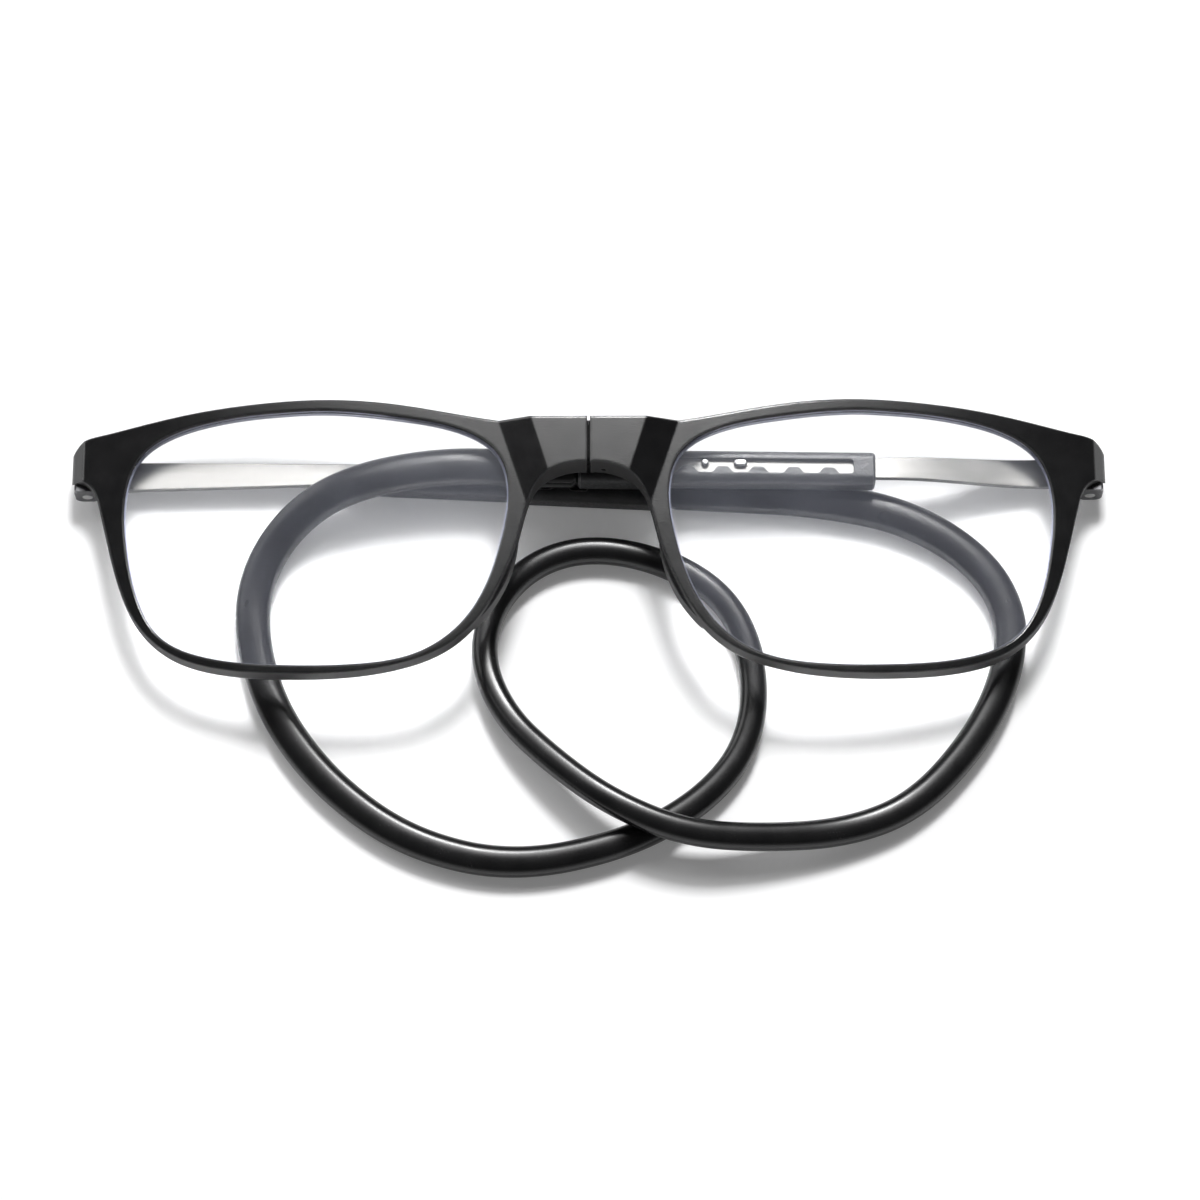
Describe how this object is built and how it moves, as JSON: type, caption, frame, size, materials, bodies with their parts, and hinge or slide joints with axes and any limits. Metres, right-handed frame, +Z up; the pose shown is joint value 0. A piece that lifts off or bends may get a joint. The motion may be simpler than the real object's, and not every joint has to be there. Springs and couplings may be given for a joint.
{
  "type": "magnetic bridge reading glasses",
  "caption": "Folding reading glasses whose front parts at a magnetic bridge, with slotted adjustable temples joined behind by a soft neck band.",
  "frame": {"origin": "under the middle of the front, between the two halves, at the height of the surface the glasses lie on", "axes": "+X along the front towards the right half, +Y from the lower rims to the brow, +Z up out of the lenses' front"},
  "size_m": [0.1438, 0.0663, 0.014],
  "materials": {
    "front_plastic": "satin black moulded plastic",
    "lens": "clear, coated",
    "magnet": "nickel plated",
    "hinge_metal": "dark plated steel",
    "screw_metal": "turned",
    "strip_metal": "polished",
    "stud_metal": "polished",
    "sleeve_plastic": "fine grain",
    "plug_plastic": "moulded",
    "band_rubber": "satin black elastomer"
  },
  "bodies": {
    "band": {"neck_band": "band_rubber", "right_sleeve": "sleeve_plastic", "left_sleeve": "sleeve_plastic", "right_band_plug": "plug_plastic", "left_band_plug": "plug_plastic"},
    "right_temple": {"right_temple_strip": "strip_metal", "right_strip_studs": "stud_metal", "right_temple_hinge": "hinge_metal"},
    "left_temple": {"left_temple_strip": "strip_metal", "left_strip_studs": "stud_metal", "left_temple_hinge": "hinge_metal"},
    "right_front": {"right_rim": "front_plastic", "right_lens": "lens", "right_bridge_magnet": "magnet", "right_rim_hinge": "hinge_metal", "right_hinge_screw": "screw_metal"},
    "left_front": {"left_rim": "front_plastic", "left_lens": "lens", "left_bridge_magnet": "magnet", "left_rim_hinge": "hinge_metal", "left_hinge_screw": "screw_metal", "bridge_locating_bumps": "stud_metal"}
  },
  "joints": [
    {"name": "right_temple_slide", "type": "slide", "parent": "band", "child": "right_temple", "axis": [0.9998, -0.007, -0.018], "range_m": [0, 0.0147]},
    {"name": "left_temple_slide", "type": "slide", "parent": "band", "child": "left_temple", "axis": [-0.9987, 0.0506, 0], "range_m": [0, 0.0049]},
    {"name": "right_front_fold", "type": "hinge", "parent": "right_temple", "child": "right_front", "pos_m": [0.07, 0.01165, 0.0027], "axis": [0, 1, 0], "range_deg": [0, 95]},
    {"name": "left_front_fold", "type": "hinge", "parent": "left_temple", "child": "left_front", "pos_m": [-0.07, 0.01165, 0.0027], "axis": [0, -1, 0], "range_deg": [0, 95]}
  ]
}
